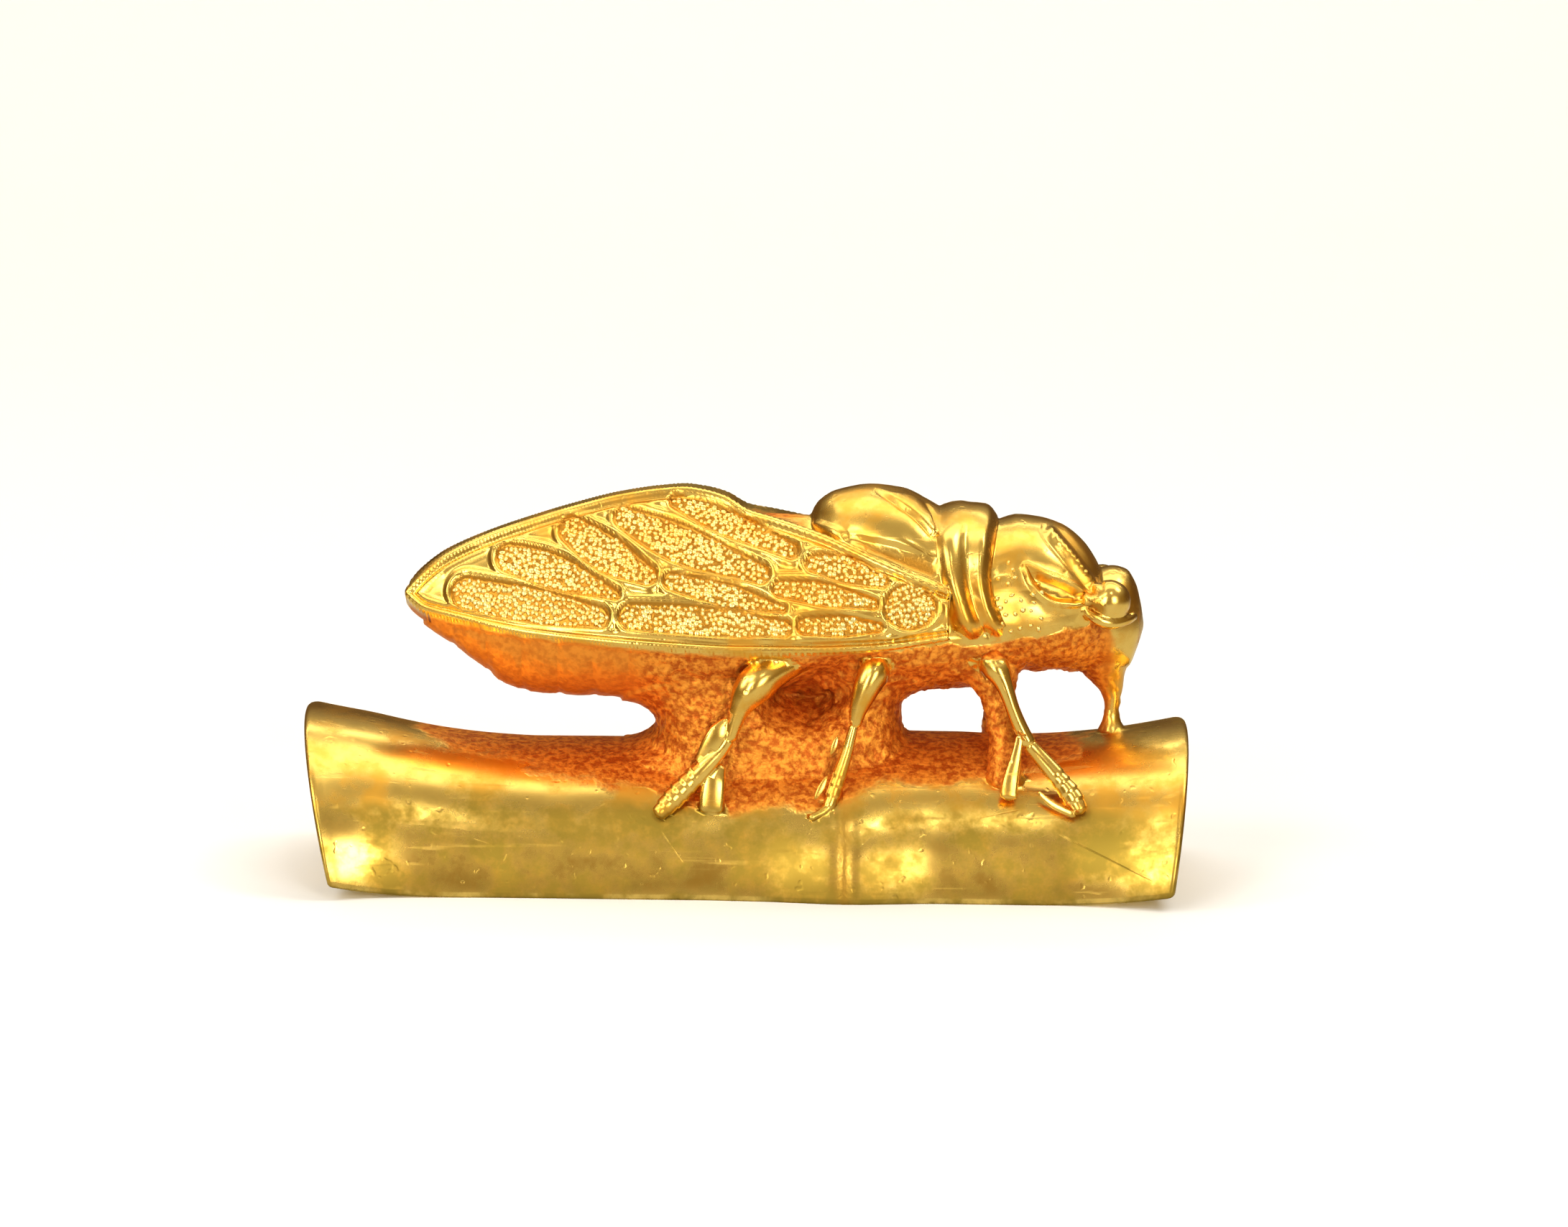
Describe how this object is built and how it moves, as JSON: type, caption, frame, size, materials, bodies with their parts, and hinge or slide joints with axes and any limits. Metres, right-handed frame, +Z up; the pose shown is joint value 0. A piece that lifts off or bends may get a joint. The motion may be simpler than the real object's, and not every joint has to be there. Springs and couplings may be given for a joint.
{
  "type": "bronze cicada figurine",
  "caption": "Small cast figurine of a cicada with folded, veined wings clinging by six legs to a half-round length of bamboo; stands on its flat underside.",
  "frame": {"origin": "on the flat underside, under the middle of the bounding box", "axes": "+X along the bamboo towards the insect's head, +Y to the insect's left, +Z up"},
  "size_m": [0.05, 0.0182, 0.0224],
  "materials": {
    "gilt_bronze": "polished gilt bronze on the outer faces, rough orange-brown casting skin in the recesses and under the insect"
  },
  "bodies": {
    "root": {"cicada_on_bamboo": "gilt_bronze"}
  },
  "joints": []
}
